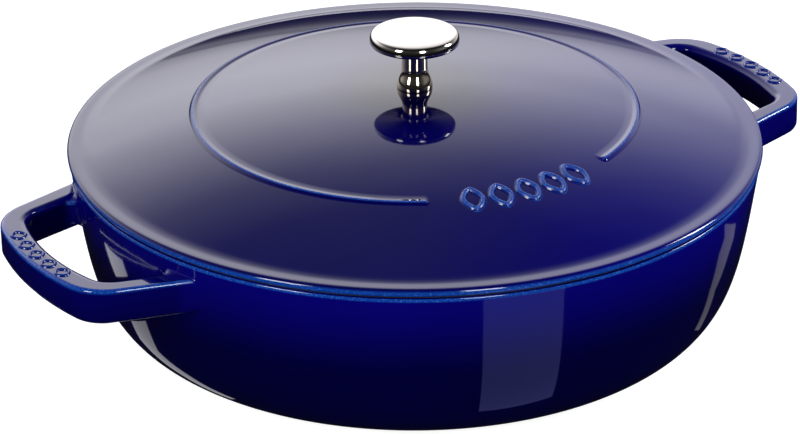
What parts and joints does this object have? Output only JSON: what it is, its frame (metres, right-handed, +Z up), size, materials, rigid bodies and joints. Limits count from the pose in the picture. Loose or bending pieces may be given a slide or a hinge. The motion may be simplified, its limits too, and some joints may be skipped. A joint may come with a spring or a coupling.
{
  "type": "braiser",
  "caption": "Round shallow enamelled cast iron braiser with two loop handles, a low domed lid with a raised broken ring, and a turned metal knob.",
  "frame": {"origin": "on the table under the middle of the pot, at the bottom centre of the bounding box", "axes": "+X through the two loop handles, +Z up along the pot's axis, -Y towards the gap in the lid's raised ring"},
  "size_m": [0.359, 0.288, 0.1226],
  "materials": {
    "blue_enamel": "cast iron with a gloss dark blue enamel outside and a matt black enamel inside",
    "nickel": "polished nickel plate",
    "steel": "plain stainless steel"
  },
  "bodies": {
    "pot": {"pot": "blue_enamel"},
    "lid": {"lid": "blue_enamel", "knob": "nickel", "knob_screw": "steel", "washer": "steel"}
  },
  "joints": [
    {"name": "lid_lift", "type": "slide", "parent": "pot", "child": "lid", "axis": [0, 0, 1], "range_m": [0, 0.15]}
  ]
}
